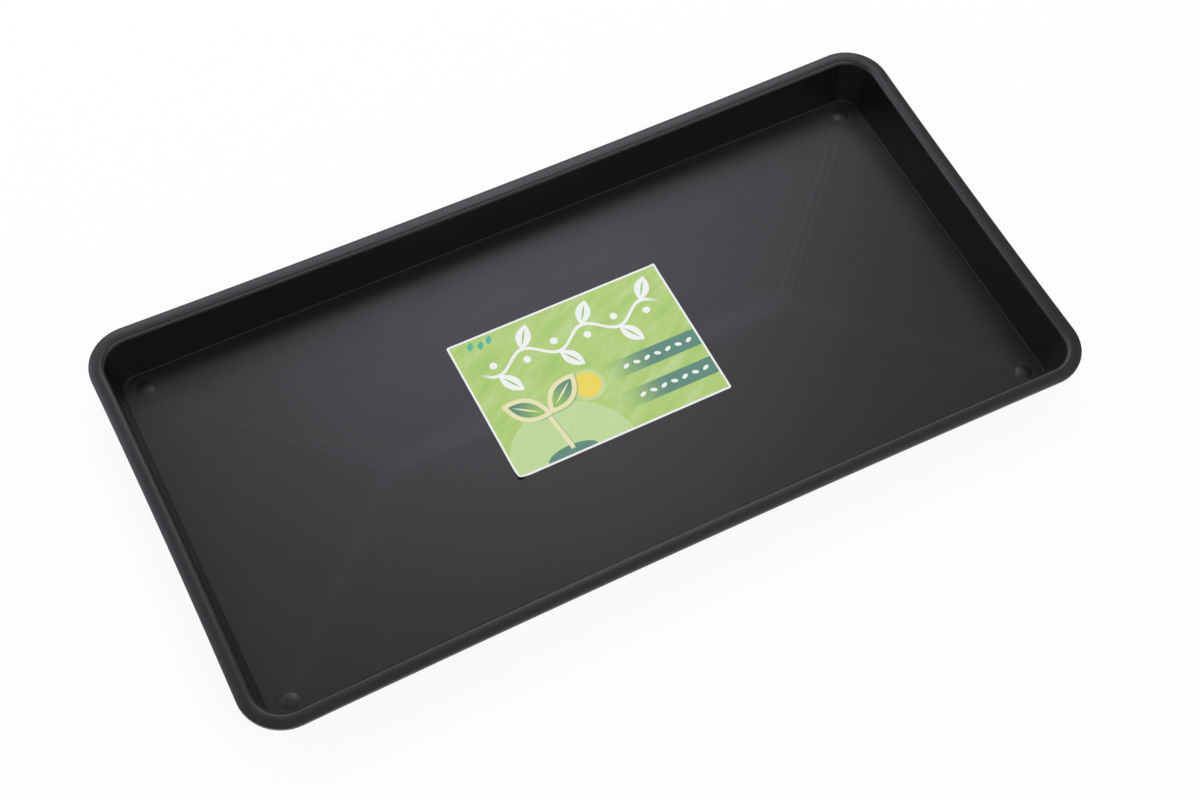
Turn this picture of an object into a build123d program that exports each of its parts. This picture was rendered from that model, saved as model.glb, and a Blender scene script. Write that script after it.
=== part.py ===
"""Open potting tray: a drafted moulding with a rolled rim, and the printed label stuck on its floor.

Millimetres, +Z up. The origin is the middle of the face that the tray stands on: +X runs along its length,
+Y to its back.
"""

import os
from math import cos, radians, sin, tan

from build123d import *

# Overall size of the tray
length = 790.0
width = 400.0
height = 48.0

# Walls and floor
wall_draft = 12.0
wall_thickness = 2.0
floor_thickness = 2.2
floor_corner_radius = 16.5
wall_foot_radius = 0.5
standing_edge_radius = 1.2

# The floor lies flat along the walls and rises from there, as a very low hipped roof, to a ridge along its middle
floor_margin = 9.0
floor_rise = 0.5

# Rolled rim with its turned-down skirt: round at the mouth, a soft crest, and a fall from there to its edge
rim_width = 13.0
rim_thickness = 2.0
rim_crest_inset = 6.5
rim_crest_radius = 16.0
rim_inner_fall = 3.0
rim_outer_fall = 7.0
rim_mouth_radius = 5.0
rim_edge_radius = 2.8
rim_underside_radius = 0.8
skirt_drop = 5.0

# Domed buttons in the floor's corners, set in from the foot of the wall
button_diameter = 16.0
button_height = 0.8
button_inset_along = 18.9
button_inset_across = 16.4

# Label, with its place on the floor
label_length = 210.0
label_width = 146.0
label_thickness = 0.2
label_corner_radius = 2.0
label_x = 4.1
label_y = 12.5
label_turn = 0.2

# Levels, and reaches outwards from the foot of the wall, that follow from the sizes above
inner_fall = radians(rim_inner_fall)
outer_fall = radians(rim_outer_fall)
crest_tangent = rim_crest_radius * tan((inner_fall + outer_fall) / 2)
crest_rounding = crest_tangent * sin(inner_fall) - rim_crest_radius * (1 - cos(inner_fall))
crest_level = height + crest_rounding
mouth_level = crest_level - rim_crest_inset * tan(inner_fall)
edge_level = crest_level - (rim_width - rim_crest_inset) * tan(outer_fall)
mouth_underside = mouth_level - rim_thickness
mouth_underside_radius = rim_mouth_radius - rim_thickness
edge_underside = edge_level + rim_thickness * tan(outer_fall) - rim_thickness
skirt_foot = height - skirt_drop
wall_slope = tan(radians(wall_draft))
wall_breadth = wall_thickness / cos(radians(wall_draft))
wall_reach = (mouth_level - floor_thickness) * wall_slope
rim_reach = wall_reach + rim_width
skirt_reach = rim_reach - rim_thickness
floor_length = length - 2 * rim_reach
floor_width = width - 2 * rim_reach
panel_length = floor_length - 2 * floor_margin
panel_width = floor_width - 2 * floor_margin


def outer_wall_reach(level):
    """Reach of the wall's outer face at a level above the standing face."""
    return (level - floor_thickness) * wall_slope + wall_breadth


def hipped_panel(eaves):
    """The floor's raised panel as a solid block, its eaves at the given level and a floor's thickness deep."""
    base = eaves - floor_thickness
    ridge = eaves + floor_rise
    half_length = panel_length / 2
    half_width = panel_width / 2
    half_ridge = half_length - half_width
    with BuildPart() as panel:
        with BuildSketch(Plane.YZ):
            with BuildLine():
                Polyline(
                    (-half_width, base),
                    (half_width, base),
                    (half_width, eaves),
                    (0, ridge),
                    (-half_width, eaves),
                    close=True,
                )
            make_face()
        extrude(amount=half_length, both=True)
        with BuildSketch(Plane.XZ):
            with BuildLine():
                Polyline(
                    (-half_length, base),
                    (half_length, base),
                    (half_length, eaves),
                    (half_ridge, ridge),
                    (-half_ridge, ridge),
                    (-half_length, eaves),
                    close=True,
                )
            make_face()
        extrude(amount=half_width, both=True, mode=Mode.INTERSECT)
    return panel.part


# Foot of the wall, which the section of wall and rim follows round the tray
with BuildSketch() as floor_outline:
    RectangleRounded(floor_length, floor_width, floor_corner_radius)
wall_foot = floor_outline.face().outer_wire()
section_plane = Plane(origin=(0, -floor_width / 2, 0), x_dir=(0, -1, 0), z_dir=(-1, 0, 0))

# One domed button, rooted in the floor's thickness
with BuildPart() as button:
    button_root = floor_thickness / 2
    button_top = floor_thickness + button_height
    button_edge = (button_diameter / 2, floor_thickness)
    with BuildSketch(Plane.XZ):
        with BuildLine():
            Polyline((0, button_top), (0, button_root), (button_diameter / 2, button_root), button_edge)
            TangentArc((0, button_top), button_edge, tangent=(1, 0))
        make_face()
    revolve(axis=Axis.Z)

# The moulding
with BuildPart() as tray:
    # Wall, rim and skirt, with the floor's flat margin, in one section carried round the tray
    with BuildSketch(section_plane) as section:
        rim_mouth = (wall_reach, mouth_level)
        rim_crest = (wall_reach + rim_crest_inset, crest_level)
        rim_edge = (rim_reach, edge_level)
        foot = (0, floor_thickness)
        standing_edge = (outer_wall_reach(0), 0)
        under_rim = (outer_wall_reach(mouth_underside), mouth_underside)
        skirt_root = (skirt_reach, edge_underside)
        with BuildLine():
            Polyline(rim_mouth, foot, (-floor_margin, floor_thickness), (-floor_margin, 0), standing_edge, under_rim)
            Polyline(under_rim, skirt_root, (skirt_reach, skirt_foot), (rim_reach, skirt_foot), rim_edge)
            Polyline(rim_edge, rim_crest, rim_mouth)
        make_face()
        fillet(section.vertices().sort_by_distance(rim_crest)[0], rim_crest_radius)
        fillet(section.vertices().sort_by_distance(rim_mouth)[0], rim_mouth_radius)
        fillet(section.vertices().sort_by_distance(rim_edge)[0], rim_edge_radius)
        fillet(section.vertices().sort_by_distance(foot)[0], wall_foot_radius)
        fillet(section.vertices().sort_by_distance(standing_edge)[0], standing_edge_radius)
        fillet(section.vertices().sort_by_distance(under_rim)[0], mouth_underside_radius)
        fillet(section.vertices().sort_by_distance(skirt_root)[0], rim_underside_radius)
    sweep(path=wall_foot)
    # Hipped floor, hollowed from below to an even thickness
    add(hipped_panel(floor_thickness))
    add(hipped_panel(0), mode=Mode.SUBTRACT)
    # A button in each corner
    with GridLocations(floor_length - 2 * button_inset_along, floor_width - 2 * button_inset_across, 2, 2):
        add(button.part)
tray.part.label = "tray"

# The label lies on the floor and bends over its ridge
with BuildPart() as label:
    with BuildSketch():
        with Locations((label_x, label_y)):
            RectangleRounded(label_length, label_width, label_corner_radius, rotation=label_turn)
    extrude(amount=height)
    add(hipped_panel(floor_thickness + label_thickness), mode=Mode.INTERSECT)
    add(hipped_panel(floor_thickness), mode=Mode.SUBTRACT)
label.part.label = "label"

os.makedirs("parts", exist_ok=True)
for piece in (tray, label):
    export_step(piece.part, f"parts/{piece.part.label}.step")
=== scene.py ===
"""Looks of the potting tray: the black moulding, the label on its floor, and the studio around them.

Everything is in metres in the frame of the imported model: +X runs along the tray, +Y to its back, +Z up.
Sizes of the object are written in millimetres, and turned to metres where a mesh or a pattern needs them.
"""

import logging
import math
from dataclasses import dataclass
from enum import Enum
from typing import Any, NamedTuple

import bmesh
import bpy
from bmesh.types import BMEdge, BMesh, BMVert
from bpy.types import Material, Node, NodeSocket, NodeTree, Object
from mathutils import Matrix, Vector


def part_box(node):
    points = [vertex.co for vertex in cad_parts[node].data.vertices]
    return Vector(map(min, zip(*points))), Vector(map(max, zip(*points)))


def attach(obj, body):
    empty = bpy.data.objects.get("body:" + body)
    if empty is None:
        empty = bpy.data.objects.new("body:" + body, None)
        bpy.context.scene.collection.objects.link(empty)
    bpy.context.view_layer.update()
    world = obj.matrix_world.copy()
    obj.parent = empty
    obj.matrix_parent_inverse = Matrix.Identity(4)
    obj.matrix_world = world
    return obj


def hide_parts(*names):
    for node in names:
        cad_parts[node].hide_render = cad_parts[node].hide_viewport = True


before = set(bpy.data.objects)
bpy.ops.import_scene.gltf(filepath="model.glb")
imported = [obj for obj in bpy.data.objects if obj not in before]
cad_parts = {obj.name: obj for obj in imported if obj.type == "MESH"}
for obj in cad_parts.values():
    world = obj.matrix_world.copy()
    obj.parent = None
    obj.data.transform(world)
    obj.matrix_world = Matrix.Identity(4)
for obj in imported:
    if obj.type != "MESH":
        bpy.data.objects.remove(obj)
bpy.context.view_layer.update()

LOG = logging.getLogger("potting_tray")
BODY = "root"
MM = 0.001
WHITE = "#FFFFFF"

# Kinds and settings of shader nodes that come up often
MATH = "ShaderNodeMath"
MAP_RANGE = "ShaderNodeMapRange"
MAPPING = "ShaderNodeMapping"
NOISE = "ShaderNodeTexNoise"
SMOOTH = {"interpolation_type": "SMOOTHSTEP"}
BY_SIZE = {"vector_type": "TEXTURE"}


def linear(code: str) -> tuple[float, float, float, float]:
    """Turns an sRGB colour into the linear colour that shaders take.

    Args:
        code: Colour as "#RRGGBB".

    Returns:
        Red, green, blue and alpha, linear, with alpha 1.
    """
    channels = [int(code[i : i + 2], 16) / 255 for i in (1, 3, 5)]
    red, green, blue = (c / 12.92 if c <= 0.04045 else ((c + 0.055) / 1.055) ** 2.4 for c in channels)
    return red, green, blue, 1.0


def add_node(
    tree: NodeTree,
    kind: str,
    settings: dict[str, Any] | None = None,
    inputs: dict[str | int, Any] | None = None,
) -> Node:
    """Adds a shader node, sets it up and feeds its inputs.

    Args:
        tree: Node tree that the node joins.
        kind: Node type, such as "ShaderNodeTexNoise".
        settings: Values of the node's own properties.
        inputs: For each input, by name or place, a plain value or the output that is linked to it.

    Returns:
        The new node.
    """
    node = tree.nodes.new(kind)
    for name, value in (settings or {}).items():
        setattr(node, name, value)
    for key, value in (inputs or {}).items():
        if isinstance(value, NodeSocket):
            tree.links.new(value, node.inputs[key])
        else:
            node.inputs[key].default_value = value
    return node


def new_material(name: str) -> tuple[Material, NodeTree]:
    """Makes a material with an empty node tree.

    Args:
        name: Name of the real material.

    Returns:
        The material and its tree.
    """
    material = bpy.data.materials.new(name)
    material.use_nodes = True
    material.node_tree.nodes.clear()
    return material, material.node_tree


def new_piece(name: str, builder: BMesh, material: Material) -> Object:
    """Turns a finished bmesh into a smooth-shaded object at the origin.

    Args:
        name: Name of the object and of its mesh.
        builder: Bmesh in metres; it is freed.
        material: Finish of the whole piece.

    Returns:
        The object, linked to the scene.
    """
    mesh = bpy.data.meshes.new(name)
    builder.to_mesh(mesh)
    builder.free()
    mesh.shade_smooth()
    mesh.materials.append(material)
    piece = bpy.data.objects.new(name, mesh)
    bpy.context.scene.collection.objects.link(piece)
    return piece


def round_corners(builder: BMesh, corners: list[BMVert], offset: float, steps: int) -> None:
    """Rounds corners of an outline.

    Args:
        builder: Bmesh that holds the outline.
        corners: Its corners that are rounded.
        offset: How far from the corner the rounding starts, in metres.
        steps: Steps of each rounding.
    """
    bmesh.ops.bevel(
        builder,
        geom=corners,
        offset=offset,
        offset_type="OFFSET",
        segments=steps,
        profile=0.5,
        affect="VERTICES",
        material=-1,
    )


def way_out(azimuth: float, elevation: float) -> Vector:
    """Gives the way from the tray out to a lamp or a camera.

    Args:
        azimuth: Turn in degrees, 0 at the front and 90 on the right.
        elevation: Angle above the floor in degrees.

    Returns:
        Vector of length 1.
    """
    turn, rise = math.radians(azimuth), math.radians(elevation)
    return Vector((math.sin(turn) * math.cos(rise), -math.cos(turn) * math.cos(rise), math.sin(rise)))


def facing_in(place: Vector, out: Vector) -> Matrix:
    """Gives the place and turn of a lamp or a camera that looks back along the way out to it."""
    return Matrix.Translation(place) @ (-out).to_track_quat("-Z", "Y").to_matrix().to_4x4()


@dataclass(frozen=True)
class MouldedPolypropylene:
    """Black polypropylene from a fine-textured mould: satin, with flow marks, wiping streaks and creases.

    Sizes are in mm and turns in degrees. Each wear and each painted sheen is the most that the paler skin
    covers there.
    """

    colour: str = "#0F0F10"
    wear_and_sheen_colour: str = "#2E2E31"
    roughness: float = 0.33
    roughness_spread: float = 0.015
    ior: float = 1.49
    grain: float = 1.6
    grain_depth: float = 0.005
    flow_mark: float = 70.0
    flow_low: float = 0.3
    flow_high: float = 0.7
    streak_width: float = 2.4
    streak_length: float = 55.0
    streak_turn: float = 24.0
    streak_low: float = 0.5
    streak_high: float = 0.75
    streak_wear: float = 0.22
    patch_low: float = 0.4
    patch_high: float = 0.65
    ridge_end: float = 195.0
    ridge_reach: float = 22.0
    ridge_sheen: float = 0.3
    crease_wave: float = 13.0
    crease_reach: float = 15.0
    crease_depth: float = 0.018
    crease_sheen: float = 0.16
    floor_top: float = 4.0

    def streaks(self, tree: NodeTree, place: NodeSocket, flow: NodeSocket) -> NodeSocket:
        """Draws the streaks of wiping and stacking, long and soft, denser in patches.

        Args:
            tree: Node tree that the streaks join.
            place: Object coordinates.
            flow: Strength of the flow marks, which the patches follow.

        Returns:
            Wear, 0 to 1.
        """
        size = (self.streak_length * MM, self.streak_width * MM, self.streak_width * MM)
        turn = (0.0, 0.0, math.radians(self.streak_turn))
        drawn_out = add_node(tree, MAPPING, BY_SIZE, {"Vector": place, "Rotation": turn, "Scale": size})
        hairs = add_node(
            tree,
            NOISE,
            inputs={"Vector": drawn_out.outputs["Vector"], "Scale": 1.0, "Detail": 2.0, "Roughness": 0.5},
        ).outputs["Fac"]
        paler_skin: Any = self.streak_wear
        for spread, low, high in (
            (flow, self.patch_low, self.patch_high),
            (hairs, self.streak_low, self.streak_high),
        ):
            paler_skin = add_node(
                tree,
                MAP_RANGE,
                SMOOTH,
                {"Value": spread, "From Min": low, "From Max": high, "To Max": paler_skin},
            ).outputs["Result"]
        return paler_skin

    def behind_crease(self, tree: NodeTree, along: NodeSocket, y: NodeSocket) -> NodeSocket:
        """Measures how far a place lies behind the floor's ridge, or behind the hip past the ridge's end.

        Args:
            tree: Node tree that the measure joins.
            along: Distance from the tray's middle along its length.
            y: Place across the tray.

        Returns:
            Distance in metres, below 0 in front of the crease.
        """
        end = self.ridge_end * MM
        past = add_node(tree, MATH, {"operation": "SUBTRACT"}, {0: along, 1: end}).outputs[0]
        past = add_node(tree, MATH, {"operation": "MAXIMUM"}, {0: past, 1: 0.0}).outputs[0]
        half = add_node(tree, MATH, {"operation": "SIGN"}, {0: y}).outputs[0]
        hip = add_node(tree, MATH, {"operation": "MULTIPLY"}, {0: half, 1: past}).outputs[0]
        return add_node(tree, MATH, {"operation": "SUBTRACT"}, {0: y, 1: hip}).outputs[0]

    def creases(self, tree: NodeTree, place: NodeSocket) -> tuple[NodeSocket, NodeSocket]:
        """Draws the floor's ridge and hips: a shallow wave across each crease, and painted highlight as
        paler skin along it.

        Args:
            tree: Node tree that the creases join.
            place: Object coordinates.

        Returns:
            Height of the wave, -1 to 1, and painted highlight, 0 to 1.
        """
        x, y, z = add_node(tree, "ShaderNodeSeparateXYZ", inputs={0: place}).outputs
        along = add_node(tree, MATH, {"operation": "ABSOLUTE"}, {0: x}).outputs[0]
        behind = self.behind_crease(tree, along, y)
        apart = add_node(tree, MATH, {"operation": "ABSOLUTE"}, {0: behind}).outputs[0]
        top = self.floor_top * MM
        on_floor = add_node(tree, MATH, {"operation": "LESS_THAN"}, {0: z, 1: top}).outputs[0]
        ridge = add_node(
            tree,
            MAP_RANGE,
            SMOOTH,
            {
                "Value": along,
                "From Min": (self.ridge_end + self.ridge_reach) * MM,
                "From Max": (self.ridge_end - self.ridge_reach) * MM,
                "To Max": self.ridge_sheen,
            },
        ).outputs["Result"]
        bands = []
        for reach, strength in ((self.crease_reach, 1.0), (self.ridge_reach, ridge)):
            band = add_node(
                tree,
                MAP_RANGE,
                SMOOTH,
                {"Value": apart, "From Min": reach * MM, "From Max": 0.0, "To Max": strength},
            ).outputs["Result"]
            bands.append(add_node(tree, MATH, {"operation": "MULTIPLY"}, {0: band, 1: on_floor}).outputs[0])
        near, painted_sheen = bands
        waves = math.tau / (self.crease_wave * MM)
        phase = add_node(tree, MATH, {"operation": "MULTIPLY"}, {0: behind, 1: waves}).outputs[0]
        wave = add_node(tree, MATH, {"operation": "SINE"}, {0: phase}).outputs[0]
        height = add_node(tree, MATH, {"operation": "MULTIPLY"}, {0: wave, 1: near})
        # Painted highlight: the skin is paler along the hips, and paler still along the middle of the ridge
        paler_skin = add_node(
            tree, MATH, {"operation": "MULTIPLY_ADD"}, {0: near, 1: self.crease_sheen, 2: painted_sheen}
        )
        return height.outputs[0], paler_skin.outputs[0]

    def material(self) -> Material:
        """Builds the finish.

        Returns:
            Material on Object coordinates.
        """
        # Moulded polypropylene: near-black body, and a satin skin whose gloss drifts where the melt flowed
        material, tree = new_material("moulded_polypropylene")
        place = add_node(tree, "ShaderNodeTexCoord").outputs["Object"]
        flow = add_node(
            tree,
            NOISE,
            inputs={"Vector": place, "Scale": 1 / (self.flow_mark * MM), "Detail": 3.0, "Roughness": 0.55},
        ).outputs["Fac"]
        gloss = add_node(
            tree,
            MAP_RANGE,
            inputs={
                "Value": flow,
                "From Min": self.flow_low,
                "From Max": self.flow_high,
                "To Min": self.roughness - self.roughness_spread,
                "To Max": self.roughness + self.roughness_spread,
            },
        ).outputs["Result"]
        streaks = self.streaks(tree, place, flow)
        crease, painted_sheen = self.creases(tree, place)
        # Paler skin: real wear of the streaks, plus painted highlight along the creases
        wear_and_sheen = add_node(tree, MATH, {"operation": "ADD"}, {0: painted_sheen, 1: streaks}).outputs[0]
        colour = add_node(
            tree,
            "ShaderNodeMix",
            {"data_type": "RGBA"},
            {0: wear_and_sheen, 6: linear(self.colour), 7: linear(self.wear_and_sheen_colour)},
        ).outputs[2]
        # Grain of the mould, drawn coarser than the real half millimetre so that it shows
        grain = add_node(
            tree,
            NOISE,
            inputs={"Vector": place, "Scale": 1 / (self.grain * MM), "Detail": 2.0, "Roughness": 0.6},
        ).outputs["Fac"]
        relief: Any = 0.0
        for height, depth in ((grain, self.grain_depth), (crease, self.crease_depth)):
            relief = add_node(
                tree, MATH, {"operation": "MULTIPLY_ADD"}, {0: height, 1: depth, 2: relief}
            ).outputs[0]
        bump = add_node(tree, "ShaderNodeBump", inputs={"Height": relief, "Distance": MM, "Strength": 1.0})
        skin = add_node(
            tree,
            "ShaderNodeBsdfPrincipled",
            inputs={
                "Base Color": colour,
                "Roughness": gloss,
                "IOR": self.ior,
                "Normal": bump.outputs["Normal"],
            },
        )
        add_node(tree, "ShaderNodeOutputMaterial", inputs={"Surface": skin.outputs["BSDF"]})
        return material


class Side(Enum):
    """Sides of the tray in the order in which its section is carried round, each with the way it runs."""

    FRONT = (1, 0)
    RIGHT = (0, 1)
    BACK = (-1, 0)
    LEFT = (0, -1)


class SectionCorner(NamedTuple):
    """A corner of the wall's section: reach, level and rounding in mm, and the steps of the rounding."""

    reach: float
    level: float
    radius: float = 0.0
    steps: int = 0


@dataclass
class TrayMoulding:
    """The tray: drafted walls, rolled rim with its skirt, hipped floor and corner buttons, one moulding.

    Sizes are in mm and angles in degrees. Reaches are measured outwards from the foot of the wall.
    """

    length: float
    width: float
    height: float
    finish: MouldedPolypropylene = MouldedPolypropylene()
    wall_draft: float = 12.0
    wall_thickness: float = 2.0
    wall_foot_radius: float = 0.5
    standing_edge_radius: float = 1.2
    floor_thickness: float = 2.2
    floor_corner_radius: float = 16.5
    floor_margin: float = 9.0
    floor_rise: float = 0.5
    ridge_softness: float = 9.0
    hip_softness: float = 5.0
    rim_width: float = 13.0
    rim_thickness: float = 2.0
    rim_crest_inset: float = 8.6
    rim_crest_radius: float = 22.0
    rim_inner_fall: float = 2.0
    rim_outer_fall: float = 15.0
    rim_mouth_radius: float = 4.6
    rim_edge_radius: float = 0.9
    rim_underside_radius: float = 0.8
    skirt_drop: float = 5.0
    skirt_lip_radius: float = 0.5
    button_diameter: float = 16.0
    button_height: float = 0.8
    button_inset_along: float = 18.9
    button_inset_across: float = 16.4
    long_side_bow: float = 3.7
    short_side_bow: float = 1.4
    step: float = 4.0
    corner_steps: int = 14
    ball_segments: int = 48
    ball_rings: int = 128
    weld: float = 0.01
    sharp_angle: float = 15.0

    def __post_init__(self) -> None:
        """Works out the levels and reaches that follow from the sizes."""
        inner_fall, outer_fall = math.radians(self.rim_inner_fall), math.radians(self.rim_outer_fall)
        tangent = self.rim_crest_radius * math.tan((inner_fall + outer_fall) / 2)
        rounding = tangent * math.sin(inner_fall) - self.rim_crest_radius * (1 - math.cos(inner_fall))
        outer_width = self.rim_width - self.rim_crest_inset
        self.crest_level = self.height + rounding
        self.mouth_level = self.crest_level - self.rim_crest_inset * math.tan(inner_fall)
        self.edge_level = self.crest_level - outer_width * math.tan(outer_fall)
        self.mouth_underside = self.mouth_level - self.rim_thickness
        self.edge_underside = self.edge_level + self.rim_thickness * (math.tan(outer_fall) - 1)
        self.mouth_underside_radius = self.rim_mouth_radius - self.rim_thickness
        self.wall_slope = math.tan(math.radians(self.wall_draft))
        self.wall_reach = (self.mouth_level - self.floor_thickness) * self.wall_slope
        self.rim_reach = self.wall_reach + self.rim_width
        self.floor_length = self.length - 2 * self.rim_reach
        self.floor_width = self.width - 2 * self.rim_reach
        self.straight_length = self.floor_length - 2 * self.floor_corner_radius
        self.straight_width = self.floor_width - 2 * self.floor_corner_radius

    def outer_wall_reach(self, level: float) -> float:
        """Gives the reach of the wall's outer face at a level."""
        breadth = self.wall_thickness / math.cos(math.radians(self.wall_draft))
        return (level - self.floor_thickness) * self.wall_slope + breadth

    def floor_lift(self, x: float, y: float) -> float:
        """Gives how far the hipped floor stands above its flat margin.

        Args:
            x: Place along the tray, mm.
            y: Place across the tray, mm.

        Returns:
            Lift in mm, 0 on the margin.
        """
        half_width = self.floor_width / 2 - self.floor_margin
        half_length = self.floor_length / 2 - self.floor_margin
        from_long_side = half_width - math.hypot(y, self.ridge_softness) + self.ridge_softness / 2
        from_short_side = half_length - abs(x)
        inside = min(half_width - abs(y), from_short_side)
        if inside <= 0:
            return 0.0
        gap = from_long_side - from_short_side
        nearest = (from_long_side + from_short_side - math.hypot(gap, self.hip_softness)) / 2
        return self.floor_rise / half_width * max(0.0, min(inside, nearest))

    def section_corners(self) -> list[SectionCorner]:
        """Lists the corners of the wall's section.

        Returns:
            The corners from the floor's top, over the rim, to the floor's underside.
        """
        skirt_foot = self.height - self.skirt_drop
        skirt_reach = self.rim_reach - self.rim_thickness
        crest_reach = self.wall_reach + self.rim_crest_inset
        under_rim_reach = self.outer_wall_reach(self.mouth_underside)
        return [
            SectionCorner(-self.floor_corner_radius, self.floor_thickness),
            SectionCorner(-self.floor_margin, self.floor_thickness),
            SectionCorner(0.0, self.floor_thickness, self.wall_foot_radius, 6),
            SectionCorner(self.wall_reach, self.mouth_level, self.rim_mouth_radius, 8),
            SectionCorner(crest_reach, self.crest_level, self.rim_crest_radius, 6),
            SectionCorner(self.rim_reach, self.edge_level, self.rim_edge_radius, 8),
            SectionCorner(self.rim_reach, skirt_foot, self.skirt_lip_radius, 3),
            SectionCorner(skirt_reach, skirt_foot, self.skirt_lip_radius, 3),
            SectionCorner(skirt_reach, self.edge_underside, self.rim_underside_radius, 3),
            SectionCorner(under_rim_reach, self.mouth_underside, self.mouth_underside_radius, 5),
            SectionCorner(self.outer_wall_reach(0.0), 0.0, self.standing_edge_radius, 4),
            SectionCorner(-self.floor_margin, 0.0),
            SectionCorner(-self.floor_corner_radius, 0.0),
        ]

    def draw_section(self, shell: BMesh) -> list[BMVert | BMEdge]:
        """Draws the rounded section at the left end of the front wall.

        Args:
            shell: Empty bmesh that the section joins.

        Returns:
            The section's vertices and edges.
        """
        start = Vector((-self.straight_length / 2, -self.floor_width / 2, 0))
        corners = self.section_corners()
        points = [start + Vector((0, -corner.reach, corner.level)) for corner in corners]
        verts = [shell.verts.new(point * MM) for point in points]
        for pair in zip(verts, verts[1:]):
            shell.edges.new(pair)
        for i, corner in enumerate(corners):
            if corner.radius > 0:
                turn = (points[i] - points[i - 1]).angle(points[i + 1] - points[i])
                round_corners(shell, [verts[i]], corner.radius * math.tan(turn / 2) * MM, corner.steps)
        return [*shell.verts, *shell.edges]

    def carry_section_round(self, shell: BMesh) -> None:
        """Carries the section along the four walls and round the corners between them.

        Args:
            shell: Empty bmesh that the walls join.
        """
        section = self.draw_section(shell)
        for side in Side:
            way = Vector((*side.value, 0))
            outward = Vector((way.y, -way.x, 0))
            run, across = self.straight_length, self.straight_width
            if way.y:
                run, across = across, run
            steps = round(run / self.step)
            moved = bmesh.ops.spin(
                shell,
                geom=section,
                cent=(0, 0, 0),
                axis=(0, 0, 1),
                dvec=way * (run / steps * MM),
                angle=0.0,
                steps=steps,
            )
            turned = bmesh.ops.spin(
                shell,
                geom=moved["geom_last"],
                cent=(way * (run / 2) + outward * (across / 2)) * MM,
                axis=(0, 0, 1),
                dvec=(0, 0, 0),
                angle=math.pi / 2,
                steps=self.corner_steps,
            )
            section = turned["geom_last"]

    def lay_floor(self, shell: BMesh) -> None:
        """Lays the floor's top and underside between the walls and lifts both into the hipped form.

        Args:
            shell: Bmesh with the walls, which the floor closes.
        """
        scale = Matrix.Diagonal((self.straight_length / 2 * MM, self.straight_width / 2 * MM, 1, 1))
        for level in (0.0, self.floor_thickness):
            bmesh.ops.create_grid(
                shell,
                x_segments=round(self.straight_length / self.step),
                y_segments=round(self.straight_width / self.step),
                size=1.0,
                matrix=Matrix.Translation((0, 0, level * MM)) @ scale,
            )
        bmesh.ops.remove_doubles(shell, verts=shell.verts, dist=self.weld * MM)
        for vert in shell.verts:
            vert.co.z += self.floor_lift(vert.co.x / MM, vert.co.y / MM) * MM

    def bow_walls(self, shell: BMesh) -> None:
        """Draws the long, thin walls in between their corners, most at the rim, as the moulding cools.

        Args:
            shell: Bmesh of the whole moulding.
        """
        for vert in shell.verts:
            x, y, z = vert.co / MM
            share = max(0.0, (z - self.floor_thickness) / (self.height - self.floor_thickness))
            across = self.long_side_bow * max(0.0, 1 - (2 * x / self.straight_length) ** 2)
            along = self.short_side_bow * max(0.0, 1 - (2 * y / self.straight_width) ** 2)
            vert.co.y -= math.copysign(across * share * MM, y)
            vert.co.x -= math.copysign(along * share * MM, x)

    def corner_buttons(self) -> BMesh:
        """Makes the four domed buttons, each the cap of a ball, rooted in the floor.

        Returns:
            Bmesh with the four closed caps.
        """
        radius = (self.button_height**2 + (self.button_diameter / 2) ** 2) / (2 * self.button_height)
        x = self.floor_length / 2 - self.button_inset_along
        y = self.floor_width / 2 - self.button_inset_across
        ball_level = self.floor_thickness + self.button_height - radius
        buttons = bmesh.new()
        for right in (-1, 1):
            for back in (-1, 1):
                ball = bmesh.ops.create_uvsphere(
                    buttons,
                    u_segments=self.ball_segments,
                    v_segments=self.ball_rings,
                    radius=radius * MM,
                    matrix=Matrix.Translation(Vector((right * x, back * y, ball_level)) * MM),
                )
                faces = {face for vert in ball["verts"] for face in vert.link_faces}
                edges = {edge for face in faces for edge in face.edges}
                cut = bmesh.ops.bisect_plane(
                    buttons,
                    geom=[*ball["verts"], *edges, *faces],
                    plane_co=(0, 0, self.floor_thickness / 2 * MM),
                    plane_no=(0, 0, 1),
                    clear_inner=True,
                )
                rim = [part for part in cut["geom_cut"] if isinstance(part, BMEdge)]
                bmesh.ops.contextual_create(buttons, geom=rim)
        bmesh.ops.recalc_face_normals(buttons, faces=buttons.faces)
        return buttons

    def join_buttons(self, tray: Object, material: Material) -> None:
        """Joins the buttons with the floor into one closed mesh.

        Args:
            tray: The moulding without its buttons, which gets the joined mesh.
            material: Finish of the moulding.
        """
        buttons = new_piece("corner_buttons", self.corner_buttons(), material)
        union = tray.modifiers.new("buttons", "BOOLEAN")
        union.operation = "UNION"
        union.solver = "EXACT"
        union.object = buttons
        depsgraph = bpy.context.evaluated_depsgraph_get()
        joined = bpy.data.meshes.new_from_object(tray.evaluated_get(depsgraph))
        tray.modifiers.clear()
        tray.data = joined
        bpy.data.objects.remove(buttons)

    def build(self) -> Object:
        """Builds the moulding and dresses it.

        Returns:
            The tray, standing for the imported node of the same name.
        """
        material = self.finish.material()
        shell = bmesh.new()
        self.carry_section_round(shell)
        self.lay_floor(shell)
        bmesh.ops.recalc_face_normals(shell, faces=shell.faces)
        self.bow_walls(shell)
        tray = new_piece("potting_tray", shell, material)
        self.join_buttons(tray, material)
        tray.data.shade_smooth()
        tray.data.set_sharp_from_angle(angle=math.radians(self.sharp_angle))
        weigh = tray.modifiers.new("even_faces", "WEIGHTED_NORMAL")
        weigh.keep_sharp = True
        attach(tray, BODY)
        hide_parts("tray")
        return tray


class Outline(Enum):
    """Outlines that the label's print is drawn with."""

    DISC = "disc"
    LEAF = "leaf"
    BAR = "bar"


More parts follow.
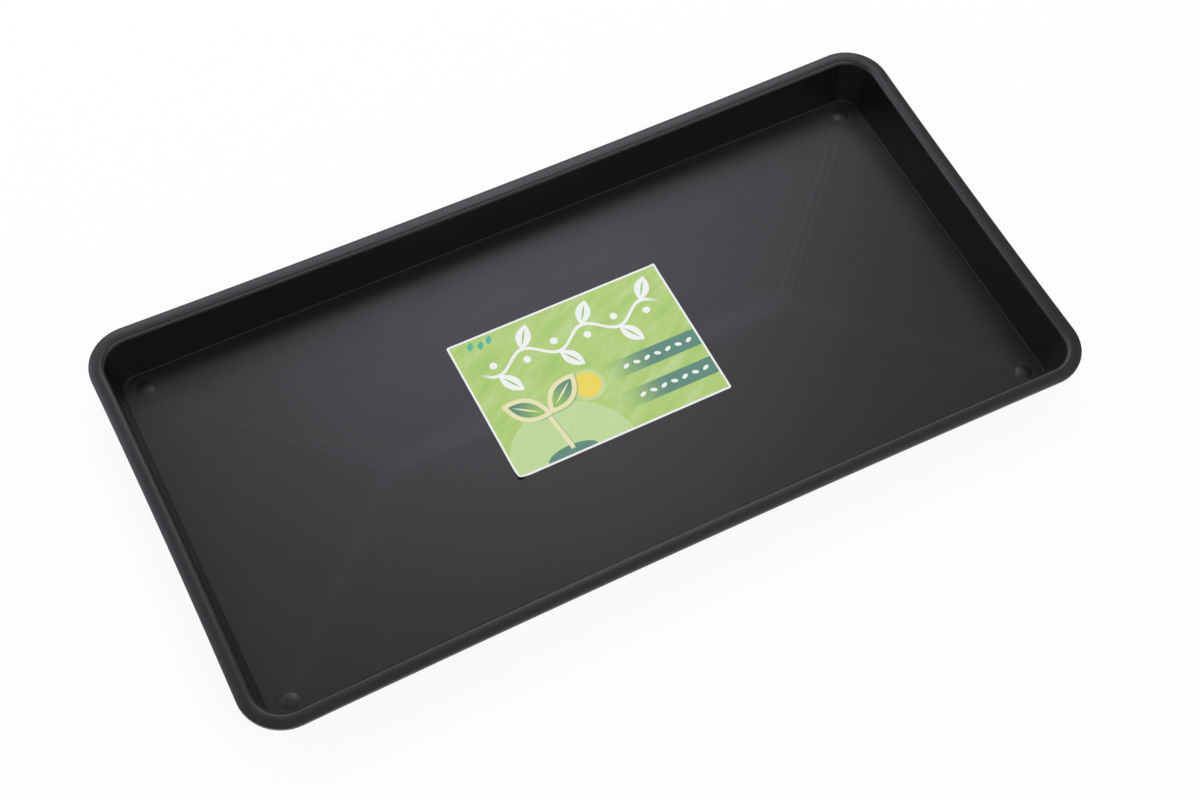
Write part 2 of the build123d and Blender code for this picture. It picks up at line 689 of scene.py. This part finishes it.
@dataclass(frozen=True)
class Motif:
    """One printed shape, in mm from the sheet's front left corner, with its turn in degrees.

    The ink takes the share `cover` of what it lies on, and comes in over the share `fade` of the shape's
    length. Its border is `edge` mm soft. A shape with `waves` swings to each side by `swing` half widths.
    """

    outline: Outline
    ink: str
    x: float
    y: float
    half_length: float
    half_width: float
    turn: float = 0.0
    cover: float = 1.0
    fade: float = 0.0
    waves: float = 0.0
    swing: float = 0.0
    edge: float = 0.4

    def mask(self, tree: NodeTree, sheet: NodeSocket) -> NodeSocket:
        """Draws where the ink lies.

        Args:
            tree: Node tree that the shape joins.
            sheet: Place on the sheet, mm.

        Returns:
            Share of the ink, 0 to 1.
        """
        local = add_node(
            tree,
            MAPPING,
            BY_SIZE,
            {
                "Vector": sheet,
                "Location": (self.x, self.y, 0.0),
                "Rotation": (0.0, 0.0, math.radians(self.turn)),
                "Scale": (self.half_length, self.half_width, 1.0),
            },
        ).outputs["Vector"]
        along, across, _ = add_node(tree, "ShaderNodeSeparateXYZ", inputs={0: local}).outputs
        if self.waves:
            waves = math.pi * self.waves
            phase = add_node(tree, MATH, {"operation": "MULTIPLY"}, {0: along, 1: waves}).outputs[0]
            wave = add_node(tree, MATH, {"operation": "SINE"}, {0: phase}).outputs[0]
            across = add_node(
                tree, MATH, {"operation": "MULTIPLY_ADD"}, {0: wave, 1: -self.swing, 2: across}
            ).outputs[0]
        square = add_node(tree, MATH, {"operation": "MULTIPLY"}, {0: along, 1: along}).outputs[0]
        width = add_node(tree, MATH, {"operation": "ABSOLUTE"}, {0: across}).outputs[0]
        reaches = {
            Outline.DISC: ("MULTIPLY_ADD", {0: across, 1: across, 2: square}),
            Outline.LEAF: ("ADD", {0: square, 1: width}),
            Outline.BAR: ("MAXIMUM", {0: square, 1: width}),
        }
        operation, terms = reaches[self.outline]
        reach = add_node(tree, MATH, {"operation": operation}, terms).outputs[0]
        full = 1.0 - self.edge / min(self.half_length, self.half_width)
        ink = add_node(
            tree,
            MAP_RANGE,
            inputs={"Value": reach, "From Min": 1.0, "From Max": full, "To Max": self.cover},
        ).outputs["Result"]
        if self.fade:
            ink = add_node(
                tree,
                MAP_RANGE,
                SMOOTH,
                {"Value": along, "From Min": -1.0, "From Max": 2 * self.fade - 1, "To Max": ink},
            ).outputs["Result"]
        return ink


@dataclass(frozen=True)
class Inks:
    """Inks of the label's print, and the bare paper."""

    paper: str = "#F3F4F0"
    lime: str = "#B1D172"
    pale_lime: str = "#C6E0A2"
    fresh_green: str = "#96C55E"
    bottle_green: str = "#5A8B77"
    white: str = "#F4F7F1"
    cream: str = "#EAE7B2"
    sun_yellow: str = "#F0DA50"
    teal: str = "#4FB59A"


@dataclass(frozen=True)
class PrintedVine:
    """White vine along the sheet's back half: a wavy stem with a leaf and a berry at each bend.

    Sizes are in mm and turns in degrees. A pair gives a half length and half width, or a shift.
    """

    left: float = 15.0
    right: float = 195.0
    level: float = 108.0
    rise: float = 8.0
    stem: float = 1.9
    waves: int = 3
    leaf_size: tuple[float, float] = (13.5, 7.0)
    leaf_shift: tuple[float, float] = (7.0, 11.0)
    leaf_turn: float = 57.0
    vein_size: tuple[float, float] = (9.5, 1.0)
    vein_edge: float = 0.3
    berry_size: tuple[float, float] = (3.6, 3.6)
    berry_shift: float = 11.5

    def shapes(self, inks: Inks) -> list[Motif]:
        """Lays out the vine.

        Args:
            inks: Inks of the print.

        Returns:
            The stem, then each leaf with its vein and its berry.
        """
        half = (self.right - self.left) / 2
        stem = Motif(
            Outline.BAR,
            inks.white,
            (self.left + self.right) / 2,
            self.level,
            half,
            self.stem,
            waves=self.waves,
            swing=self.rise / self.stem,
        )
        shapes = [stem]
        bends = 2 * self.waves
        along, away = self.leaf_shift
        for i in range(bends):
            # The stem starts downwards, so its first bend is a low one
            way = 1 if i % 2 else -1
            x = self.left + 2 * half * (i + 0.5) / bends
            y = self.level + way * self.rise
            leaf = (x + along, y + way * away)
            turn = way * self.leaf_turn
            shapes += [
                Motif(Outline.LEAF, inks.white, *leaf, *self.leaf_size, turn),
                Motif(Outline.LEAF, inks.fresh_green, *leaf, *self.vein_size, turn, edge=self.vein_edge),
                Motif(Outline.DISC, inks.white, x, y - way * self.berry_shift, *self.berry_size),
            ]
        return shapes


@dataclass(frozen=True)
class PrintedSeedling:
    """Seedling with its sun, on a pale hill in the sheet's front left quarter. In mm, turns in degrees.

    A pair gives a place, a half length and half width, or a shift. A soft shade lies under stem and leaves.
    """

    hill: tuple[float, float] = (54.0, -6.0)
    hill_size: tuple[float, float] = (60.0, 60.0)
    hill_cover: float = 0.75
    hill_edge: float = 1.5
    sun: tuple[float, float] = (96.0, 58.0)
    sun_size: tuple[float, float] = (12.5, 12.5)
    halo_size: tuple[float, float] = (17.0, 17.0)
    halo_cover: float = 0.45
    halo_edge: float = 4.0
    mound: tuple[float, float] = (54.0, 2.0)
    mound_size: tuple[float, float] = (24.0, 9.0)
    stem: tuple[float, float] = (54.0, 27.0)
    stem_size: tuple[float, float] = (21.0, 2.2)
    stem_shade: tuple[float, float] = (1.2, -1.0)
    stem_turn: float = 90.0
    stem_waves: float = 0.5
    stem_swing: float = 1.0
    left_leaf: tuple[float, float] = (36.5, 58.0)
    left_turn: float = 146.0
    right_leaf: tuple[float, float] = (72.0, 60.0)
    right_turn: float = 38.0
    leaf_size: tuple[float, float] = (23.0, 12.0)
    leaf_shade: tuple[float, float] = (1.3, -1.3)
    blade_size: tuple[float, float] = (17.0, 7.6)
    fade: float = 0.9
    vein_size: tuple[float, float] = (14.0, 1.1)
    vein_edge: float = 0.3
    shade_cover: float = 0.5
    shade_edge: float = 1.0

    def shapes(self, inks: Inks) -> list[Motif]:
        """Lays out the seedling.

        Args:
            inks: Inks of the print.

        Returns:
            The shapes from the hill up.
        """
        hill = {"cover": self.hill_cover, "edge": self.hill_edge}
        halo = {"cover": self.halo_cover, "edge": self.halo_edge}
        wave = {"turn": self.stem_turn, "waves": self.stem_waves, "swing": self.stem_swing}
        shade = {"cover": self.shade_cover, "edge": self.shade_edge}
        stem_shade = Vector(self.stem) + Vector(self.stem_shade)
        shapes = [
            Motif(Outline.DISC, inks.pale_lime, *self.hill, *self.hill_size, **hill),
            Motif(Outline.DISC, inks.cream, *self.sun, *self.halo_size, **halo),
            Motif(Outline.DISC, inks.sun_yellow, *self.sun, *self.sun_size),
            Motif(Outline.DISC, inks.bottle_green, *self.mound, *self.mound_size),
            Motif(Outline.BAR, inks.bottle_green, *stem_shade, *self.stem_size, **wave, **shade),
            Motif(Outline.BAR, inks.cream, *self.stem, *self.stem_size, **wave),
        ]
        for place, turn in ((self.left_leaf, self.left_turn), (self.right_leaf, self.right_turn)):
            leaf_shade = Vector(place) + Vector(self.leaf_shade)
            shapes += [
                Motif(Outline.LEAF, inks.bottle_green, *leaf_shade, *self.leaf_size, turn, **shade),
                Motif(Outline.LEAF, inks.cream, *place, *self.leaf_size, turn),
                Motif(Outline.LEAF, inks.fresh_green, *place, *self.blade_size, turn),
                Motif(Outline.LEAF, inks.bottle_green, *place, *self.blade_size, turn, fade=self.fade),
                Motif(Outline.LEAF, inks.cream, *place, *self.vein_size, turn, edge=self.vein_edge),
            ]
        return shapes


@dataclass(frozen=True)
class PrintedSeeds:
    """Two dark bands with rows of seeds, and drops in the back left corner. In mm, turns in degrees."""

    band_x: float = 160.0
    band_levels: tuple[float, ...] = (60.0, 28.0)
    band_size: tuple[float, float] = (49.0, 9.0)
    band_fade: float = 0.55
    seed_x: float = 136.0
    seed_spacing: float = 10.5
    seed_size: tuple[float, float] = (3.4, 1.9)
    seed_turn: float = 24.0
    seeds: int = 7
    drop_x: float = 20.0
    drop_level: float = 138.0
    drop_spacing: float = 9.0
    drop_step: float = 2.5
    drop_size: tuple[float, float] = (5.0, 2.8)
    drop_turn: float = 62.0
    drops: int = 3

    def shapes(self, inks: Inks) -> list[Motif]:
        """Lays out the bands, the seeds and the drops.

        Args:
            inks: Inks of the print.

        Returns:
            Each band with its seeds, then the drops.
        """
        shapes = []
        for level in self.band_levels:
            band = Motif(
                Outline.BAR, inks.bottle_green, self.band_x, level, *self.band_size, fade=self.band_fade
            )
            shapes.append(band)
            for i in range(self.seeds):
                x = self.seed_x + self.seed_spacing * i
                turn = -self.seed_turn if i % 2 else self.seed_turn
                shapes.append(Motif(Outline.DISC, inks.white, x, level, *self.seed_size, turn))
        for i in range(self.drops):
            x = self.drop_x + self.drop_spacing * i
            y = self.drop_level - self.drop_step * (i % 2)
            shapes.append(Motif(Outline.LEAF, inks.teal, x, y, *self.drop_size, self.drop_turn))
        return shapes


@dataclass(frozen=True)
class PrintedPaper:
    """Coated label paper in fresh greens: flat inks on a brushed ground, with a bare white edge. In mm."""

    inks: Inks = Inks()
    vine: PrintedVine = PrintedVine()
    seedling: PrintedSeedling = PrintedSeedling()
    seeds: PrintedSeeds = PrintedSeeds()
    margin: float = 1.8
    brush_length: float = 46.0
    brush_width: float = 12.0
    brush_turn: float = 28.0
    brush_cover: float = 0.7
    pale_low: float = 0.5
    pale_high: float = 0.75
    deep_low: float = 0.48
    deep_high: float = 0.25
    roughness: float = 0.42
    ior: float = 1.45
    fibre: float = 0.9
    fibre_depth: float = 0.004

    def brushed_ground(self, tree: NodeTree, sheet: NodeSocket) -> list[tuple[str, NodeSocket]]:
        """Draws the ground's paler and deeper brush strokes.

        Args:
            tree: Node tree that the strokes join.
            sheet: Place on the sheet, mm.

        Returns:
            Ink and mask of each.
        """
        turn = (0.0, 0.0, math.radians(self.brush_turn))
        size = (self.brush_length, self.brush_width, 1.0)
        strokes = add_node(tree, MAPPING, BY_SIZE, {"Vector": sheet, "Rotation": turn, "Scale": size})
        brushed = add_node(
            tree,
            NOISE,
            inputs={"Vector": strokes.outputs["Vector"], "Scale": 1.0, "Detail": 4.0, "Roughness": 0.55},
        ).outputs["Fac"]
        layers = []
        for ink, low, high in (
            (self.inks.pale_lime, self.pale_low, self.pale_high),
            (self.inks.fresh_green, self.deep_low, self.deep_high),
        ):
            mask = add_node(
                tree,
                MAP_RANGE,
                inputs={"Value": brushed, "From Min": low, "From Max": high, "To Max": self.brush_cover},
            )
            layers.append((ink, mask.outputs["Result"]))
        return layers

    def print_colour(self, tree: NodeTree, sheet: NodeSocket, length: float, width: float) -> NodeSocket:
        """Lays the print's inks over each other, inside the bare edge.

        Args:
            tree: Node tree that the print joins.
            sheet: Place on the sheet, mm.
            length: Length of the sheet, mm.
            width: Width of the sheet, mm.

        Returns:
            Colour of the printed sheet.
        """
        layers = self.brushed_ground(tree, sheet)
        for drawing in (self.seeds, self.seedling, self.vine):
            layers += [(motif.ink, motif.mask(tree, sheet)) for motif in drawing.shapes(self.inks)]
        colour: Any = linear(self.inks.lime)
        for ink, mask in layers:
            colour = add_node(
                tree, "ShaderNodeMix", {"data_type": "RGBA"}, {0: mask, 6: colour, 7: linear(ink)}
            ).outputs[2]
        half = (length / 2, width / 2)
        ground = Motif(Outline.BAR, self.inks.lime, *half, half[0] - self.margin, half[1] - self.margin)
        return add_node(
            tree,
            "ShaderNodeMix",
            {"data_type": "RGBA"},
            {0: ground.mask(tree, sheet), 6: linear(self.inks.paper), 7: colour},
        ).outputs[2]

    def material(self, length: float, width: float) -> Material:
        """Builds the finish.

        Args:
            length: Length of the sheet, mm.
            width: Width of the sheet, mm.

        Returns:
            Material on the label's own UV map.
        """
        # Coated paper, offset printed: flat inks on a softly brushed ground, and the coating's even sheen
        material, tree = new_material("printed_label_paper")
        flat = add_node(tree, "ShaderNodeUVMap", {"uv_map": "sheet"}).outputs["UV"]
        sheet = add_node(
            tree, "ShaderNodeVectorMath", {"operation": "MULTIPLY"}, {0: flat, 1: (length, width, 0.0)}
        ).outputs["Vector"]
        # Fibres of the paper under its coating, drawn coarser than they are so that they show
        fibres = add_node(
            tree, NOISE, inputs={"Vector": sheet, "Scale": 1 / self.fibre, "Detail": 2.0, "Roughness": 0.6}
        ).outputs["Fac"]
        relief = {"Height": fibres, "Distance": self.fibre_depth * MM, "Strength": 1.0}
        bump = add_node(tree, "ShaderNodeBump", inputs=relief)
        skin = add_node(
            tree,
            "ShaderNodeBsdfPrincipled",
            inputs={
                "Base Color": self.print_colour(tree, sheet, length, width),
                "Roughness": self.roughness,
                "IOR": self.ior,
                "Normal": bump.outputs["Normal"],
            },
        )
        add_node(tree, "ShaderNodeOutputMaterial", inputs={"Surface": skin.outputs["BSDF"]})
        return material


@dataclass(frozen=True)
class CornerCurl:
    """A corner of the label that comes unstuck: its place, how deep it bends up, and the bend's radius."""

    right: bool
    back: bool
    depth: float
    radius: float

    def bend(self, x: float, y: float, half_length: float, half_width: float) -> Vector:
        """Gives the way that the curl moves a point of the flat sheet.

        Args:
            x: Place along the sheet from its middle, mm.
            y: Place across the sheet from its middle, mm.
            half_length: Half of the sheet's length, mm.
            half_width: Half of the sheet's width, mm.

        Returns:
            Move in mm, up and in towards the middle, or none outside the curl.
        """
        to_right = 1 if self.right else -1
        to_back = 1 if self.back else -1
        from_corner = (half_length - to_right * x + half_width - to_back * y) / math.sqrt(2)
        past = max(0.0, self.depth - from_corner)
        angle = past / self.radius
        inwards = Vector((-to_right, -to_back, 0)).normalized() * (past - self.radius * math.sin(angle))
        return inwards + Vector((0, 0, self.radius * (1 - math.cos(angle))))


@dataclass
class FloorLabel:
    """The label: one sheet of paper stuck flat on the floor, with two corners that start to lift. In mm."""

    tray: TrayMoulding
    x: float
    y: float
    finish: PrintedPaper = PrintedPaper()
    length: float = 210.0
    width: float = 146.0
    thickness: float = 0.2
    corner_radius: float = 2.0
    corner_steps: int = 6
    turn: float = 0.2
    front_curl: CornerCurl = CornerCurl(right=False, back=False, depth=9.5, radius=15.0)
    back_curl: CornerCurl = CornerCurl(right=True, back=True, depth=5.0, radius=9.0)
    step: float = 2.1
    sharp_angle: float = 40.0

    def flat_sheet(self) -> BMesh:
        """Cuts the flat sheet with its rounded corners and its thickness, and lays out its UV map.

        Returns:
            Bmesh with its middle at the origin.
        """
        sheet = bmesh.new()
        bmesh.ops.create_grid(
            sheet,
            x_segments=round(self.length / self.step),
            y_segments=round(self.width / self.step),
            size=0.5,
            matrix=Matrix.Diagonal((self.length * MM, self.width * MM, 1, 1)),
        )
        corners = [vert for vert in sheet.verts if len(vert.link_edges) == 2]
        round_corners(sheet, corners, self.corner_radius * MM, self.corner_steps)
        raised = bmesh.ops.extrude_face_region(sheet, geom=list(sheet.faces))
        top = [part for part in raised["geom"] if isinstance(part, BMVert)]
        bmesh.ops.translate(sheet, vec=(0, 0, self.thickness * MM), verts=top)
        bmesh.ops.recalc_face_normals(sheet, faces=sheet.faces)
        # The underside takes the bare paper of the sheet's corner
        flat = sheet.loops.layers.uv.new("sheet")
        for face in sheet.faces:
            underside = face.normal.z < -0.5
            for loop in face.loops:
                place = loop.vert.co / MM
                print_place = (place.x / self.length + 0.5, place.y / self.width + 0.5)
                loop[flat].uv = (0.0, 0.0) if underside else print_place
        return sheet

    def build(self) -> Object:
        """Builds the sheet, lays it on the floor and dresses it.

        Returns:
            The label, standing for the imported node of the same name.
        """
        sheet = self.flat_sheet()
        turn = Matrix.Rotation(math.radians(self.turn), 4, "Z")
        place = Matrix.Translation((self.x * MM, self.y * MM, 0)) @ turn
        for vert in sheet.verts:
            flat = vert.co / MM
            for curl in (self.front_curl, self.back_curl):
                vert.co += curl.bend(flat.x, flat.y, self.length / 2, self.width / 2) * MM
            vert.co = place @ vert.co
            lift = self.tray.floor_lift(vert.co.x / MM, vert.co.y / MM)
            vert.co.z += (self.tray.floor_thickness + lift) * MM
        label = new_piece("floor_label", sheet, self.finish.material(self.length, self.width))
        label.data.set_sharp_from_angle(angle=math.radians(self.sharp_angle))
        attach(label, BODY)
        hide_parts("label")
        return label


@dataclass(frozen=True)
class StudioPaper:
    """White background paper, matt. It glows for the share `glow` of what is seen, and so stays white."""

    colour: str = "#FAFAFA"
    glow: float = 0.92

    def material(self) -> Material:
        """Builds the finish.

        Returns:
            Material of one even white.
        """
        # Matt paper: an almost even white, seen or mirrored, on which the object's faint shadow stays
        material, tree = new_material("white_studio_paper")
        rays = add_node(tree, "ShaderNodeLightPath").outputs
        seen = rays["Is Camera Ray"]
        for ray in ("Is Glossy Ray", "Is Transmission Ray"):
            seen = add_node(tree, MATH, {"operation": "MAXIMUM"}, {0: seen, 1: rays[ray]}).outputs[0]
        share = add_node(tree, MATH, {"operation": "MULTIPLY"}, {0: seen, 1: self.glow}).outputs[0]
        paper = add_node(tree, "ShaderNodeBsdfDiffuse", inputs={"Color": linear(self.colour)})
        glow = add_node(tree, "ShaderNodeEmission", inputs={"Color": linear(WHITE), "Strength": 1.0})
        surface = add_node(
            tree,
            "ShaderNodeMixShader",
            inputs={0: share, 1: paper.outputs["BSDF"], 2: glow.outputs["Emission"]},
        )
        add_node(tree, "ShaderNodeOutputMaterial", inputs={"Surface": surface.outputs["Shader"]})
        return material


@dataclass(frozen=True)
class SoftLight:
    """One soft light, turned to the tray's middle: where it hangs, its size and how bright its face is.

    Sizes are in metres and angles in degrees.
    """

    name: str
    azimuth: float
    elevation: float
    distance: float
    width: float
    height: float
    brightness: float
    colour: str = WHITE

    def hang(self) -> None:
        """Hangs the light; its power follows from its face's brightness and area."""
        data = bpy.data.lights.new(self.name, "AREA")
        data.shape = "RECTANGLE"
        data.size = self.width
        data.size_y = self.height
        data.energy = self.brightness * math.pi * self.width * self.height
        data.color = linear(self.colour)[:3]
        light = bpy.data.objects.new(self.name, data)
        out = way_out(self.azimuth, self.elevation)
        light.matrix_world = facing_in(out * self.distance, out)
        bpy.context.scene.collection.objects.link(light)


@dataclass
class Studio:
    """White floor, soft lights and the camera of the reference view.

    Floor and lights are in metres, the camera in mm, and angles in degrees.
    """

    lights: tuple[SoftLight, ...] = (
        SoftLight("back_softbox", 163.5, 38.0, 3.0, 2.6, 1.0, 2.3, "#F3F0FF"),
        SoftLight("back_overhead", 155.0, 57.0, 3.0, 1.1, 0.8, 2.6, "#F3F0FF"),
        SoftLight("left_softbox", -133.0, 41.0, 3.0, 1.7, 1.2, 2.85, "#EBE8FF"),
        SoftLight("front_softbox", 26.0, 52.0, 3.0, 3.2, 2.2, 1.22),
    )
    world_level: float = 0.5
    paper: StudioPaper = StudioPaper()
    floor_gap: float = 0.05 * MM
    floor_radius: float = 20.0
    cove_radius: float = 4.0
    cove_height: float = 6.0
    cove_steps: int = 12
    round_steps: int = 96
    target: tuple[float, float, float] = (-1.8, -20.85, 2.2)
    distance: float = 1745.8
    azimuth: float = -32.13
    elevation: float = 59.83
    roll: float = 5.54
    lens: float = 59.64
    sensor: float = 36.0

    def place_camera(self) -> None:
        """Places the camera at the reference view."""
        data = bpy.data.cameras.new("camera")
        data.lens = self.lens
        data.sensor_width = self.sensor
        camera = bpy.data.objects.new("camera", data)
        out = way_out(self.azimuth, self.elevation)
        upright = facing_in((Vector(self.target) + out * self.distance) * MM, out)
        camera.matrix_world = upright @ Matrix.Rotation(math.radians(self.roll), 4, "Z")
        bpy.context.scene.collection.objects.link(camera)
        bpy.context.scene.camera = camera

    def floor_sheet(self) -> BMesh:
        """Makes the floor as a round sheet whose far edge rolls up into a wall, so that no horizon shows.

        Returns:
            Bmesh in metres.
        """
        sheet = bmesh.new()
        # A hair below the standing face, so that the two never lie in one plane
        level = -self.floor_gap
        points = ((0, 0, level), (self.floor_radius, 0, level), (self.floor_radius, 0, self.cove_height))
        verts = [sheet.verts.new(point) for point in points]
        for pair in zip(verts, verts[1:]):
            sheet.edges.new(pair)
        round_corners(sheet, [verts[1]], self.cove_radius, self.cove_steps)
        bmesh.ops.spin(
            sheet,
            geom=[*sheet.verts, *sheet.edges],
            cent=(0, 0, 0),
            axis=(0, 0, 1),
            dvec=(0, 0, 0),
            angle=math.tau,
            steps=self.round_steps,
            use_merge=True,
        )
        bmesh.ops.remove_doubles(sheet, verts=sheet.verts, dist=MM)
        bmesh.ops.recalc_face_normals(sheet, faces=sheet.faces)
        return sheet

    def lay_floor(self) -> None:
        """Lays the pale floor that the tray stands on, as stage."""
        floor = new_piece("studio_floor", self.floor_sheet(), self.paper.material())

    def build(self) -> None:
        """Sets up floor, lights, world and camera."""
        scene = bpy.context.scene
        scene.view_settings.view_transform = "Standard"
        world = bpy.data.worlds.new("studio")
        world.use_nodes = True
        sky = world.node_tree.nodes["Background"].inputs
        sky["Color"].default_value = linear(WHITE)
        sky["Strength"].default_value = self.world_level
        scene.world = world
        self.lay_floor()
        for light in self.lights:
            light.hang()
        self.place_camera()


def main() -> None:
    """Builds the object and the studio."""
    logging.basicConfig(level=logging.INFO, format="%(name)s: %(message)s")
    low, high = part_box("tray")
    size = (high - low) / MM
    moulding = TrayMoulding(length=size.x, width=size.y, height=size.z)
    tray = moulding.build()
    LOG.info("%s: %d faces", tray.name, len(tray.data.polygons))
    low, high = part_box("label")
    middle = (low + high) / 2 / MM
    label = FloorLabel(moulding, middle.x, middle.y).build()
    LOG.info("%s: %d faces", label.name, len(label.data.polygons))
    Studio().build()


if __name__ == "__main__":
    main()
